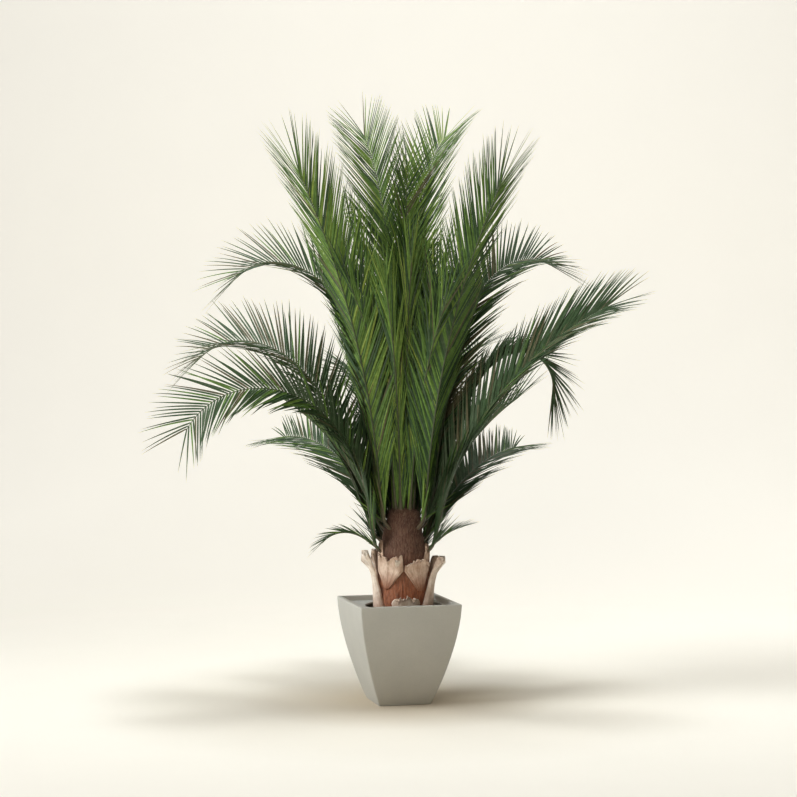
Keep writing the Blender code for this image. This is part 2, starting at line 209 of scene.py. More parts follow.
stone, tree, shader = new_material("cast_stone", roughness=0.78)
place = add(tree, "ShaderNodeTexCoord").outputs["Object"]
cloud = noise(tree, place, scale=7.0, detail=5.0, rough=0.6)
grain = noise(tree, place, scale=320.0, detail=3.0, rough=0.6)
pits = noise(tree, place, scale=95.0, detail=4.0, rough=0.7)
body = ramp(tree, cloud, [(0.30, (0.436, 0.427, 0.384)), (0.55, (0.458, 0.448, 0.402)),
                          (0.75, (0.474, 0.464, 0.420))])
speck = ramp(tree, grain, [(0.35, (0.94, 0.94, 0.94)), (0.60, (1.0, 1.0, 1.0)), (0.78, (1.03, 1.03, 1.03))])
tree.links.new(mix(tree, ALL, body, speck, "MULTIPLY"), shader.inputs["Base Color"])
relief(tree, shader, mix(tree, GRAIN_SHARE, pits, grain), strength=0.12, distance=0.0008)

rings = rounded_edge(POT_HALF_BASE, POT_CORNER, POT_EDGE, 1, -1)[::-1]
for level in range(1, POT_LEVELS):
    height = POT_EDGE + (POT_HEIGHT - 2 * POT_EDGE) * level / POT_LEVELS
    rings.append(square_ring(pot_half(height), POT_CORNER, height))
rings += rounded_edge(POT_HALF, POT_CORNER, POT_HEIGHT - POT_EDGE, 1, 1)
rings += rounded_edge(POT_HALF - POT_WALL, POT_CORNER, POT_HEIGHT - POT_EDGE, -1, 1)[::-1]
for level in range(POT_LEVELS - 1, -1, -1):
    height = POT_FLOOR + (POT_HEIGHT - POT_EDGE - POT_FLOOR) * level / POT_LEVELS
    rings.append(square_ring(pot_half(height) - POT_WALL, POT_CORNER, height))
planter = piece("planter", *loft(rings), stone)
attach(planter, "root")
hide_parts("pot")

# Cover plate. A thin grey plate that lies inside the rim, with a round hole for the trunk, and
# hides the planting foam. It is moulded and slightly dusty.
COVER_TOP = 0.374
COVER_THICK = 0.006
COVER_HOLE = 0.150
COVER_GAP = 0.0006
COVER_EDGE = 0.0008
COVER_EDGE_SHRINK = 0.9985
COVER_AROUND = 128
TRUNK_X = 0.020
cover_grey, tree, shader = new_material("cover_plate_grey", roughness=0.7)
place = add(tree, "ShaderNodeTexCoord").outputs["Object"]
dust = noise(tree, place, scale=24.0, detail=5.0, rough=0.6)
tree.links.new(ramp(tree, dust, [(0.3, (0.34, 0.34, 0.31)), (0.7, (0.50, 0.50, 0.47))]),
               shader.inputs["Base Color"])
relief(tree, shader, noise(tree, place, scale=180.0), strength=0.2, distance=0.001)
outline = []
hole = []
for side in range(COVER_AROUND):
    angle = 2 * math.pi * side / COVER_AROUND
    reach = pot_half(COVER_TOP - COVER_THICK) - POT_WALL - COVER_GAP
    square = reach / max(abs(math.cos(angle)), abs(math.sin(angle)))
    outline.append((square * math.cos(angle), square * math.sin(angle)))
    hole.append((TRUNK_X + COVER_HOLE * math.cos(angle), COVER_HOLE * math.sin(angle)))
rings = []
for path, height in ((outline, -COVER_THICK), (outline, -COVER_EDGE), (outline, 0.0), (hole, 0.0),
                     (hole, -COVER_EDGE), (hole, -COVER_THICK)):
    shrink = COVER_EDGE_SHRINK if path is outline and height == 0.0 else 1.0
    rings.append([(x * shrink, y * shrink, COVER_TOP + height) for x, y in path])
points, faces = loft(rings, capped=False)
last = len(points) - COVER_AROUND
for i in range(COVER_AROUND):
    j = (i + 1) % COVER_AROUND
    faces.append((i, j, last + j, last + i))
cover = piece("cover_plate_finish", points, faces, cover_grey, smooth=False)
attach(cover, "root")
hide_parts("cover_plate")

# Planting foam. A black block, poured round the trunk's foot inside the planter to hold it up, with
# open cells that are rough on top. The plain solid is shown, with the foam's own finish.
foam, tree, shader = new_material("planting_foam", roughness=0.95)
place = add(tree, "ShaderNodeTexCoord").outputs["Object"]
cells = noise(tree, place, scale=140.0, detail=5.0, rough=0.7)
tree.links.new(ramp(tree, cells, [(0.35, (0.010, 0.010, 0.009)), (0.7, (0.045, 0.043, 0.038))]),
               shader.inputs["Base Color"])
relief(tree, shader, cells, strength=0.8, distance=0.004)
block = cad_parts["foam_filling"]
block.data.materials.clear()
block.data.materials.append(foam)

# Trunk. A stout column wrapped in layers of brown fibre matting that the leaf bases left behind,
# combed upward, lumpy where a base was cut close, and rounded off inside the crown.
TRUNK_PROFILE = [
    (0.262, 0.078), (0.300, 0.086), (0.345, 0.092), (0.400, 0.096), (0.470, 0.094), (0.540, 0.095),
    (0.580, 0.093), (0.620, 0.084), (0.660, 0.074), (0.705, 0.067), (0.735, 0.060), (0.750, 0.042),
    (0.756, 0.004),
]
TRUNK_AROUND = 240
TRUNK_UP = 230
# Ridges of the matting: how many go round, how far they turn with height, and how deep they are.
RIDGES = [(38, 30, 0.0006), (53, -26, 0.0006), (86, 14, 0.0005)]
RIDGE_WANDER = 1.6
LUMP_DEPTH = 0.0028
SMOOTH_INSIDE = 0.05
RUST_UNEVEN = 0.06


def trunk_radius(height):
    """The trunk's radius at this height."""
    heights, radii = zip(*TRUNK_PROFILE)
    return float(np.interp(height, heights, radii))


def maths(tree, how, first, second=0.0, third=0.0):
    """One sum in a material or in a Geometry Nodes tree."""
    made = add(tree, "ShaderNodeMath", operation=how)
    for socket, value in zip(made.inputs, (first, second, third)):
        if isinstance(value, bpy.types.NodeSocket):
            tree.links.new(value, socket)
        else:
            socket.default_value = value
    return made.outputs[0]


def waves(u, v, seed, count, low, high):
    """A smooth uneven field on u and v, from waves of random heading between two sizes."""
    chance = np.random.default_rng(seed)
    total = np.zeros(np.broadcast(u, v).shape)
    for _ in range(count):
        size = low * (high / low) ** chance.random()
        heading = chance.random() * 2 * math.pi
        total = total + np.sin(size * (u * math.cos(heading) + v * math.sin(heading)) + chance.random() * 6.3)
    return total / math.sqrt(count)


fibre, tree, shader = new_material("trunk_fibre", roughness=0.95)
place = add(tree, "ShaderNodeTexCoord").outputs["Object"]
strands = noise(tree, place, scale=1.0, detail=6.0, rough=0.7, stretch=(260.0, 260.0, 22.0))
mat = noise(tree, place, scale=16.0, detail=4.0, rough=0.6)
combed = ramp(tree, strands, [(0.28, (0.040, 0.022, 0.015)), (0.48, (0.108, 0.062, 0.042)),
                              (0.72, (0.205, 0.135, 0.096))])
patchy = ramp(tree, mat, [(0.35, (0.62, 0.50, 0.46)), (0.65, (1.1, 1.0, 0.95))])
height = add(tree, "ShaderNodeSeparateXYZ", {0: place}).outputs[2]
height = maths(tree, "MULTIPLY_ADD", noise(tree, place, scale=30.0), RUST_UNEVEN, height)
rusty = ramp(tree, height, [(0.48, (2.7, 1.85, 1.40)), (0.55, (1.5, 1.2, 1.05)), (0.62, (1.05, 1.0, 1.0))])
combed = mix(tree, ALL, combed, patchy, "MULTIPLY")
tree.links.new(mix(tree, ALL, combed, rusty, "MULTIPLY"), shader.inputs["Base Color"])
relief(tree, shader, strands, strength=0.7, distance=0.002)

around = np.linspace(0, 2 * math.pi, TRUNK_AROUND, endpoint=False)
arc = np.concatenate([[0], np.cumsum([math.dist(a, b) for a, b in zip(TRUNK_PROFILE, TRUNK_PROFILE[1:])])])
steps = np.linspace(0, arc[-1], TRUNK_UP)
heights = np.interp(steps, arc, [h for h, _ in TRUNK_PROFILE])
radii = np.interp(steps, arc, [r for _, r in TRUNK_PROFILE])
grid_a, grid_h = np.meshgrid(around, heights)
grid_r = np.repeat(radii[:, None], TRUNK_AROUND, axis=1)
ridges = 0.0
for k, (turns, lean, depth) in enumerate(RIDGES):
    wander = waves(np.cos(grid_a) * 3, np.sin(grid_a) * 3 + grid_h * 25, seed=11 + k, count=5,
                   low=0.6, high=2.0)
    ridges = ridges + depth * np.sin(turns * grid_a + lean * grid_h + RIDGE_WANDER * wander)
lumps = LUMP_DEPTH * waves(np.cos(grid_a) * 2.5, np.sin(grid_a) * 2.5 + grid_h * 34, seed=5, count=7,
                           low=0.7, high=2.2)
grid_r = grid_r + (ridges + lumps) * np.clip(grid_r / SMOOTH_INSIDE, 0, 1)
trunk_points = np.stack([TRUNK_X + grid_r * np.cos(grid_a), grid_r * np.sin(grid_a), grid_h], -1)
trunk_piece = piece("trunk_column", *loft([list(map(tuple, ring)) for ring in trunk_points]), fibre)
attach(trunk_piece, "root")
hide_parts("trunk")

# Fibre strands. Loose hairs of the matting that stand a little off the trunk, short and curved,
# mostly combed up it. They are dry and a little paler than the matting.
STRANDS = 2600
TRUNK_SKIN = 0.30
STRAND_LENGTH = 0.022
STRAND_THICK = 0.0009
STRAND_WILD = 0.5
STRAND_BOW = 0.35
STRAND_TIP = 1.05
STRAND_POINTS = 6
strand_look, tree, shader = new_material("loose_fibre", roughness=0.9)
place = add(tree, "ShaderNodeTexCoord").outputs["Object"]
dry = ramp(tree, noise(tree, place, scale=90.0, detail=2.0),
           [(0.3, (0.10, 0.055, 0.035)), (0.7, (0.30, 0.20, 0.14))])
tree.links.new(dry, shader.inputs["Base Color"])


def new_tree(name, **sockets):
    """A Geometry Nodes tree with a mesh in and out and named number inputs."""
    made = bpy.data.node_groups.new(name, "GeometryNodeTree")
    made.interface.new_socket(name="Geometry", in_out="INPUT", socket_type="NodeSocketGeometry")
    for label, value in sockets.items():
        kind = "NodeSocketInt" if isinstance(value, int) else "NodeSocketFloat"
        socket = made.interface.new_socket(name=label, in_out="INPUT", socket_type=kind)
        socket.default_value = value
    made.interface.new_socket(name="Geometry", in_out="OUTPUT", socket_type="NodeSocketGeometry")
    given = made.nodes.new("NodeGroupInput")
    return made, given.outputs


def vector(tree, how, first, second=None, scale=None):
    """One sum on vectors in a Geometry Nodes tree."""
    made = add(tree, "ShaderNodeVectorMath", operation=how)
    for socket, value in ((made.inputs[0], first), (made.inputs[1], second), (made.inputs[3], scale)):
        if isinstance(value, bpy.types.NodeSocket):
            tree.links.new(value, socket)
        elif value is not None:
            socket.default_value = value
    return made.outputs["Vector"]


def dice(tree, low, high, seed):
    """A random number for each element, from this seed."""
    return add(tree, "FunctionNodeRandomValue", {2: low, 3: high, "Seed": seed}).outputs[1]


def named(tree, label, kind="FLOAT"):
    """An attribute that the mesh or the points carry."""
    made = add(tree, "GeometryNodeInputNamedAttribute", {"Name": label}, data_type=kind)
    return made.outputs["Attribute"]


def keep(tree, geometry, label, value):
    """Stores a value on each point of the geometry under a name."""
    made = add(tree, "GeometryNodeStoreNamedAttribute", {"Geometry": geometry, "Name": label,
               "Value": value}, data_type="FLOAT", domain="POINT")
    return made.outputs["Geometry"]


def grown(name, source, tree, inputs):
    """Runs a tree on a mesh and returns the result as a plain mesh piece."""
    base = bpy.data.objects.new(name + "_guide", source)
    scene.collection.objects.link(base)
    run = base.modifiers.new("grow", "NODES")
    run.node_group = tree
    for item in tree.interface.items_tree:
        if item.in_out == "INPUT" and item.name in inputs:
            run[item.identifier] = inputs[item.name]
    graph = bpy.context.evaluated_depsgraph_get()
    mesh = bpy.data.meshes.new_from_object(base.evaluated_get(graph), preserve_all_data_layers=True,
                                           depsgraph=graph)
    mesh.name = name
    base.modifiers.clear()
    bpy.data.objects.remove(base, do_unlink=True)
    made = bpy.data.objects.new(name, mesh)
    scene.collection.objects.link(made)
    return made


tree, given = new_tree("strands_on_trunk", Density=1.0, Length=0.02, Thickness=0.0005, Seed=1)
spread = add(tree, "GeometryNodeDistributePointsOnFaces", {"Mesh": given["Geometry"],
             "Density": given["Density"], "Seed": given["Seed"]})
wild = add(tree, "FunctionNodeRandomValue", {0: (-1.0, -1.0, -0.6), 1: (1.0, 1.0, 0.6), "Seed": 5},
           data_type="FLOAT_VECTOR")
upward = vector(tree, "ADD", (0.0, 0.0, 1.0), vector(tree, "SCALE", wild.outputs[0], scale=STRAND_WILD))
lift = vector(tree, "ADD", upward, vector(tree, "SCALE", spread.outputs["Normal"],
              scale=dice(tree, low=-0.15, high=0.5, seed=9)))
aim = add(tree, "FunctionNodeAxesToRotation", {"Primary Axis": lift,
          "Secondary Axis": spread.outputs["Normal"]}, primary_axis="X", secondary_axis="Z")
size = maths(tree, "MULTIPLY", given["Length"], dice(tree, low=0.4, high=1.5, seed=3))
hair = add(tree, "GeometryNodeMeshGrid", {"Size X": 1.0, "Size Y": 1.0, "Vertices X": STRAND_POINTS,
           "Vertices Y": 2})
spot = add(tree, "ShaderNodeSeparateXYZ", {0: add(tree, "GeometryNodeInputPosition").outputs[0]})
run_x = maths(tree, "ADD", spot.outputs[0], 0.5)
narrow = maths(tree, "MULTIPLY", spot.outputs[1], maths(tree, "SUBTRACT", STRAND_TIP, run_x))
bow = maths(tree, "MULTIPLY", run_x, maths(tree, "SUBTRACT", 1.0, run_x))
bow = maths(tree, "MULTIPLY", bow, STRAND_BOW)
hair = add(tree, "GeometryNodeSetPosition", {"Geometry": hair.outputs["Mesh"], "Position": add(
    tree, "ShaderNodeCombineXYZ", {0: run_x, 1: narrow, 2: bow}).outputs[0]})
stretch = add(tree, "ShaderNodeCombineXYZ", {0: size, 1: given["Thickness"], 2: size})
hairs = add(tree, "GeometryNodeInstanceOnPoints", {"Points": spread.outputs["Points"],
            "Instance": hair.outputs[0], "Rotation": aim.outputs[0], "Scale": stretch.outputs[0]})
real = add(tree, "GeometryNodeRealizeInstances", {"Geometry": hairs.outputs[0]})
dressed = add(tree, "GeometryNodeSetMaterial", {"Geometry": real.outputs[0], "Material": strand_look})
add(tree, "NodeGroupOutput", {"Geometry": dressed.outputs[0]})
bare_trunk = trunk_piece.data.copy()
strands_piece = grown("trunk_strands", bare_trunk, tree, {
    "Density": STRANDS / TRUNK_SKIN,
    "Length": STRAND_LENGTH,
    "Thickness": STRAND_THICK,
    "Seed": 4,
})
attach(strands_piece, "root")

# Leaf bases. The stumps of old leaf stalks that were cut and left on the trunk: dry curved plates
# that clasp it, ridged along their length, rusty at the foot and pale at the flared, torn end.
BOOT_FOOT = 0.3403
BOOT_ACROSS = 30
BOOT_UP = 44
BOOT_CLEAR = 0.0012
BOOT_LEAN_LATE = 2.2
BOOT_EDGE = 0.22
BOOT_THINNEST = 0.0015
BOOT_TWIST = 2.5
TORN_FROM = 0.6
FLARE_FROM = 0.75
FINE_RIDGE = 0.0009
BROAD_RIDGE = 0.0016
RUST_CLEARED = 0.1
base_look, tree, shader = new_material("leaf_base", roughness=0.88)
place = add(tree, "ShaderNodeTexCoord").outputs["UV"]
world = add(tree, "ShaderNodeTexCoord").outputs["Object"]
along = add(tree, "ShaderNodeAttribute", attribute_name="along").outputs["Fac"]
grainy = noise(tree, place, scale=1.0, detail=6.0, rough=0.65, stretch=(60.0, 5.0, 1.0))
blotch = noise(tree, world, scale=26.0, detail=4.0, rough=0.6)
pale = ramp(tree, grainy, [(0.25, (0.32, 0.19, 0.125)), (0.48, (0.62, 0.45, 0.34)),
                           (0.76, (0.82, 0.68, 0.55))])
rusty = ramp(tree, grainy, [(0.28, (0.17, 0.065, 0.036)), (0.55, (0.38, 0.17, 0.095)),
                            (0.8, (0.54, 0.30, 0.19))])
foot_share = ramp(tree, along, [(0.05, (1.0, 1.0, 1.0)), (0.50, (0.0, 0.0, 0.0))])
bleached = ramp(tree, grainy, [(0.25, (0.62, 0.48, 0.36)), (0.48, (0.88, 0.77, 0.65)),
                               (0.76, (0.95, 0.89, 0.81))])
weathered = add(tree, "ShaderNodeAttribute", attribute_name="weathered").outputs["Fac"]
tone = mix(tree, foot_share, mix(tree, weathered, pale, bleached), rusty)
shade = ramp(tree, blotch, [(0.34, (0.66, 0.56, 0.50)), (0.62, (1.0, 1.0, 1.0))])
tree.links.new(mix(tree, ALL, tone, shade, "MULTIPLY"), shader.inputs["Base Color"])
relief(tree, shader, grainy, strength=0.6, distance=0.0015)


def heading(turn):
    """Unit vector across the floor. A turn of 0 points to the right of the usual view."""
    angle = math.radians(turn + VIEW_TURN)
    return Vector((math.cos(angle), math.sin(angle), 0.0))


def leaf_base(name, turn, sway, low, high, lean, wide, thick, flare, curl, torn, slant, weathered, seed,
              node):
    """One stump: a plate round the trunk whose end leans out, spreads, curls and is torn."""
    luck = random.Random(seed)
    phases = [luck.random() * 6.3 for _ in range(8)]
    outside = []
    inside = []
    marks = []
    for level in range(BOOT_UP + 1):
        t = level / BOOT_UP
        for side in range(BOOT_ACROSS + 1):
            a = 2 * side / BOOT_ACROSS - 1
            ragged = torn * (math.sin(5 * a + phases[0]) + 0.6 * math.sin(13 * a + phases[1])
                             + 0.4 * math.sin(29 * a + phases[2]))
            lower = abs(ragged) + abs(slant) * 0.5 * (1 + math.copysign(a, slant))
            climb = t * (1.0 - max(0.0, t - TORN_FROM) / (1 - TORN_FROM) * lower)
            height = low + (high - low) * climb
            reach = trunk_radius(height) + BOOT_CLEAR + lean * t**BOOT_LEAN_LATE
            foot_part = wide[0] + (wide[1] - wide[0]) * min(1.0, 2 * t)
            width = foot_part + (wide[2] - wide[1]) * max(0.0, 2 * t - 1)
            depth = thick[0] + (thick[1] - thick[0]) * t
            depth += flare * max(0.0, t - FLARE_FROM) / (1 - FLARE_FROM)
            round_off = math.sqrt(max(0.0, 1 - a * a))
            ridge = FINE_RIDGE * (math.sin(17 * a + phases[3] + 1.5 * t) + math.sin(31 * a + phases[4]))
            ridge += BROAD_RIDGE * math.sin(4 * a + 5 * t + phases[5])
            outer = reach + depth * (BOOT_EDGE + (1 - BOOT_EDGE) * round_off) + ridge * min(1.0, 4 * t + 0.3)
            inner = reach + curl * a * a * t * 0.5
            outer += curl * a * a * t
            half = math.degrees(0.5 * width / (reach + depth))
            twist = BOOT_TWIST * math.sin(2.2 * t + phases[6])
            way = heading(turn + sway * t + half * a + twist * t)
            centre = Vector((TRUNK_X, 0.0, height))
            outside.append(centre + way * outer)
            inside.append(centre + way * min(inner, outer - BOOT_THINNEST))
            marks.append((a, t))
    row = BOOT_ACROSS + 1
    count = len(outside)
    points = outside + inside
    faces = []
    for level in range(BOOT_UP):
        for side in range(BOOT_ACROSS):
            i = level * row + side
            faces.append((i, i + 1, i + row + 1, i + row))
            faces.append((count + i, count + i + row, count + i + row + 1, count + i + 1))
    rim = [level * row for level in range(BOOT_UP + 1)]
    rim += [BOOT_UP * row + side for side in range(1, row)]
    rim += [level * row + BOOT_ACROSS for level in range(BOOT_UP - 1, -1, -1)]
    rim += [side for side in range(BOOT_ACROSS - 1, 0, -1)]
    for a, b in zip(rim, rim[1:] + rim[:1]):
        faces.append((a, b, count + b, count + a))
    made = piece(name, points, faces, base_look)
    marks = marks + marks
    store = made.data.attributes.new("along", "FLOAT", "POINT")
    store.data.foreach_set("value", [t + RUST_CLEARED * weathered for _, t in marks])
    store = made.data.attributes.new("weathered", "FLOAT", "POINT")
    store.data.foreach_set("value", [weathered] * len(marks))
    uv = made.data.uv_layers.new(name="along_stalk")
    corners = np.empty(len(made.data.loops), np.int32)
    made.data.loops.foreach_get("vertex_index", corners)
    flat = np.array(marks)[corners]
    uv.data.foreach_set("uv", (flat * (0.5, 1.0) + (0.5, 0.0)).astype(np.float32).ravel())
    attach(made, "root")
    if node:
        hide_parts(node)


# name, turn, sway, low, high, lean, (widths), (thicknesses), flare, curl, torn, slant, weathered, seed,
# node. The knot and the two sheaths are small and stand for no solid of their own.
LEAF_BASES = [
    ("base_left", -150, -20, BOOT_FOOT, 0.590, 0.048, (0.086, 0.035, 0.058), (0.030, 0.010), 0.012, 0.006,
     0.10, 0.0, 1.0, 1, "boot_left"),
    ("base_right", -30, 20, BOOT_FOOT, 0.566, 0.042, (0.080, 0.039, 0.058), (0.028, 0.013), 0.014, 0.004,
     0.07, 0.0, 1.0, 2, "boot_right"),
    ("base_front_low", -86, 0, BOOT_FOOT, 0.440, 0.014, (0.096, 0.128, 0.084), (0.014, 0.018), 0.012, 0.004,
     0.14, 0.28, 0.75, 3, "boot_front_low"),
    ("base_front_left", -131, 6, 0.446, 0.584, 0.010, (0.024, 0.138, 0.122), (0.008, 0.009), 0.004, 0.004,
     0.07, -0.28, 0.2, 4, "boot_front_left"),
    ("base_front_right", -48, -10, 0.438, 0.592, 0.012, (0.026, 0.136, 0.122), (0.008, 0.010), 0.006, 0.004,
     0.07, 0.30, 0.1, 5, "boot_front_right"),
    ("base_knot", -102, 0, 0.520, 0.560, 0.024, (0.012, 0.022, 0.026), (0.010, 0.020), 0.006, -0.008,
     0.10, 0.0, 1.3, 14, None),
    ("sheath_left", -160, 0, 0.500, 0.630, 0.006, (0.050, 0.064, 0.030), (0.006, 0.004), 0.002, 0.002,
     0.12, 0.0, -0.3, 21, None),
    ("sheath_right", -20, 0, 0.490, 0.618, 0.006, (0.050, 0.060, 0.028), (0.006, 0.004), 0.002, 0.002,
     0.12, 0.0, -0.4, 22, None),
    ("base_back_right", 28, 0, BOOT_FOOT, 0.560, 0.036, (0.070, 0.052, 0.050), (0.020, 0.012), 0.012, 0.005,
     0.09, 0.0, 0.6, 6, "boot_back_right"),
    ("base_back", 72, 0, BOOT_FOOT, 0.594, 0.030, (0.068, 0.062, 0.052), (0.018, 0.010), 0.010, 0.005,
     0.09, 0.0, 0.6, 7, "boot_back"),
    ("base_back_left", 112, 0, BOOT_FOOT, 0.556, 0.040, (0.068, 0.052, 0.050), (0.020, 0.012), 0.012, 0.005,
     0.09, 0.0, 0.6, 8, "boot_back_left"),
    ("base_left_rear", 152, 0, BOOT_FOOT, 0.588, 0.024, (0.062, 0.056, 0.048), (0.016, 0.009), 0.008, 0.005,
     0.09, 0.0, 0.3, 9, "boot_left_rear"),
]
for row in LEAF_BASES:
    leaf_base(*row)

# Frond ribs. Each frond is one preserved leaf: a stiff stalk that leaves the trunk in a short
# sheath, thins to the tip and arches under its own weight. It is brown in the sheath, green beyond
# it, and flatter along its upper face.
RIB_DEEP = 0.013
RIB_DEEP_TIP = 0.0026
RIB_WIDE = 0.0048
RIB_WIDE_TIP = 0.0015
FOOT_BEND = 42.0
FOOT_BEND_LENGTH = 0.035
ON_TOP = 0.72
SHEATH = 0.010
SHEATH_LENGTH = 0.055
FOOT_SUNK = 0.012
INNER_ABOVE = 0.74
TOP_REACH = 0.038
TOP_REACH_INNER = 0.014
TOP_SUNK = 0.02
THINNING = 0.8
GROOVE = 0.45
PITCH = 0.050
FEWEST_STEPS = 8
ROLL_OVER = 4
RIB_FINER = 4
RIB_SIDES = 8

# name, turn, foot, rise, dip, late, length, roll, fold, sweep, leaflet, tones
FRONDS = [
    ("frond_left_arch", -156, 0.572, 86, -63, 1.62, 1.24, -45, 18, 52, 0.25, "deep"),
    ("frond_left_upper", 165, 0.615, 74, -52, 2.85, 1.24, -34, 26, 50, 0.27, "shade"),
    ("frond_left_high", 176, 0.660, 88, -50, 3.40, 1.39, -34, 24, 48, 0.27, "shade"),
    ("frond_left_tall", -142, 0.668, 88, 60, 0.95, 1.44, 26, 36, 36, 0.34, "fresh_painted_light"),
    ("frond_top_left", 115, 0.735, 88, 48, 2.60, 1.58, -25, 32, 40, 0.31, "fresh_painted_light"),
    ("frond_top_right", 62, 0.735, 88, 30, 4.20, 1.59, 10, 34, 42, 0.31, "fresh_painted_light"),
    ("frond_top_inner", 84, 0.748, 88, 72, 3.00, 1.36, 30, 40, 36, 0.30, "fresh_painted_light"),
    ("frond_right_tall", -38, 0.668, 88, 61, 1.02, 1.39, -26, 36, 36, 0.34, "green"),
    ("frond_right_high", 30, 0.660, 81, -36, 4.00, 1.38, 34, 26, 48, 0.27, "shade"),
    ("frond_right_arch", -20, 0.572, 84, 25, 0.95, 1.24, 44, 24, 42, 0.29, "dusk_painted_shade"),
    ("frond_right_low", 54, 0.572, 62, 4, 0.80, 0.84, 20, 30, 42, 0.23, "dusk_painted_shade"),
    ("frond_right_droop", 36, 0.612, 74, -106, 3.40, 1.22, 0, 20, 15, 0.26, "dusk_painted_shade"),
    ("frond_left_low", 130, 0.572, 80, -8, 0.85, 0.88, -30, 24, 44, 0.25, "deep"),
    ("frond_left_fill", -168, 0.690, 72, 30, 1.10, 0.66, -20, 34, 38, 0.24, "deep"),
    ("frond_right_fill", -12, 0.694, 72, 34, 1.10, 0.64, 20, 34, 38, 0.24, "deep"),
    ("frond_back_low_right", 80, 0.590, 68, -24, 1.60, 1.14, 0, 34, 44, 0.28, "deep"),
    ("frond_back_low_left", 106, 0.600, 74, -34, 1.80, 1.20, 0, 34, 44, 0.28, "deep"),
    ("frond_back_left", 146, 0.640, 82, 62, 1.70, 1.10, 0, 34, 36, 0.30, "deep"),
    ("frond_back_right", 64, 0.650, 78, 4, 1.60, 1.02, 0, 34, 40, 0.28, "deep"),
    ("frond_back_middle", 92, 0.668, 82, 10, 2.00, 1.30, 0, 34, 40, 0.30, "green"),
    ("frond_left_middle", 156, 0.705, 84, 68, 1.60, 0.98, 0, 40, 32, 0.32, "straw"),
    ("frond_right_middle", 8, 0.690, 84, 66, 1.60, 0.90, 0, 40, 32, 0.30, "deep"),
    ("frond_front_middle", -106, 0.735, 86, 58, 1.80, 0.92, 20, 44, 13, 0.32, "bright_painted_highlight"),
    ("frond_front_right", -52, 0.735, 84, 58, 1.60, 0.88, -30, 46, 18, 0.32, "green"),
    ("frond_front_left", -136, 0.735, 84, 58, 1.60, 0.94, 30, 46, 18, 0.32, "green"),
    ("frond_centre_left", 168, 0.735, 86, 72, 2.00, 1.12, 50, 46, 20, 0.32, "bright_painted_highlight"),
    ("frond_centre_right", -8, 0.735, 87, 75, 2.00, 0.96, -50, 46, 20, 0.32, "bright_painted_highlight"),
    ("frond_centre_back", 89, 0.735, 86, 58, 2.00, 1.14, 50, 44, 28, 0.30, "fresh_painted_light"),
    ("frond_centre_front", -76, 0.748, 88, 74, 2.00, 0.98, -20, 46, 13, 0.32, "bright_painted_highlight"),
    ("frond_spray_right", -6, 0.590, 66, 10, 1.00, 0.18, 0, 30, 30, 0.09, "deep"),
    ("frond_spray_left", -176, 0.590, 66, -60, 1.10, 0.27, 0, 30, 24, 0.09, "deep"),
]

rib_look, tree, shader = new_material("frond_rib", roughness=0.5)
place = add(tree, "ShaderNodeTexCoord").outputs["Object"]
along = add(tree, "ShaderNodeAttribute", attribute_name="along").outputs["Fac"]
streak = noise(tree, place, scale=40.0, detail=4.0, rough=0.6)
stalk = ramp(tree, along, [(0.0, (0.13, 0.085, 0.05)), (0.05, (0.085, 0.080, 0.038)),
                           (0.20, (0.052, 0.070, 0.028)), (1.0, (0.085, 0.100, 0.046))])
streaked = ramp(tree, streak, [(0.3, (0.65, 0.65, 0.62)), (0.7, (1.1, 1.1, 1.1))])
tree.links.new(mix(tree, ALL, stalk, streaked, "MULTIPLY"), shader.inputs["Base Color"])
relief(tree, shader, streak, strength=0.3, distance=0.001)


def rib_frames(turn, foot, rise, dip, late, length, roll):
    """Points down the rib with its direction, its sideways and its upper-face vector."""
    on_top = foot > ON_TOP
    if on_top:
        reach, climb = [TOP_REACH if foot < INNER_ABOVE else TOP_REACH_INNER], [foot - TOP_SUNK]
    else:
        reach, climb = [trunk_radius(foot) - FOOT_SUNK], [foot]
    steps = max(FEWEST_STEPS, round(length / PITCH))
    for i in range(steps):
        s = i / steps
        bend = 0.0 if on_top else FOOT_BEND * math.exp(-s * length / FOOT_BEND_LENGTH)
        slope = math.radians(rise + (dip - rise) * s**late - bend)
        reach.append(reach[-1] + math.cos(slope) * length / steps)
        climb.append(climb[-1] + math.sin(slope) * length / steps)
    reach = [2 * reach[0] - reach[1]] + reach + [2 * reach[-1] - reach[-2]]
    climb = [2 * climb[0] - climb[1]] + climb + [2 * climb[-1] - climb[-2]]
    out = heading(turn)
    side = Vector((-out.y, out.x, 0.0))
    frames = []
    for i in range(steps * RIB_FINER + 1):
        step = min(i // RIB_FINER, steps - 1)
        f = i / RIB_FINER - step
        spot, pace = [], []
        for track in (reach, climb):
            a, b, c, d = track[step:step + 4]
            p, q, r = (c - a) / 2, a - 2.5 * b + 2 * c - d / 2, (d - a) / 2 + 1.5 * (b - c)
            spot.append(b + p * f + q * f**2 + r * f**3)
            pace.append(p + 2 * q * f + 3 * r * f**2)
        speed = math.hypot(*pace)
        along = out * (pace[0] / speed) + Vector((0.0, 0.0, pace[1] / speed))
        upper = Vector((0.0, 0.0, pace[0] / speed)) - out * (pace[1] / speed)
        s = i / RIB_FINER / steps
        turned = math.radians(roll) * min(1.0, ROLL_OVER * s)
        across = side * math.cos(turned) + upper * math.sin(turned)
        face = upper * math.cos(turned) - side * math.sin(turned)
        place = Vector((TRUNK_X, 0.0, spot[1])) + out * spot[0]
        frames.append((place, along, across, face, s))
    return frames


def rib_half_width(s, length):
    """Half the rib's width, with the sheath that spreads at its foot."""
    sheath = SHEATH * math.exp(-s * length / SHEATH_LENGTH)
    return RIB_WIDE + (RIB_WIDE_TIP - RIB_WIDE) * s**THINNING + sheath


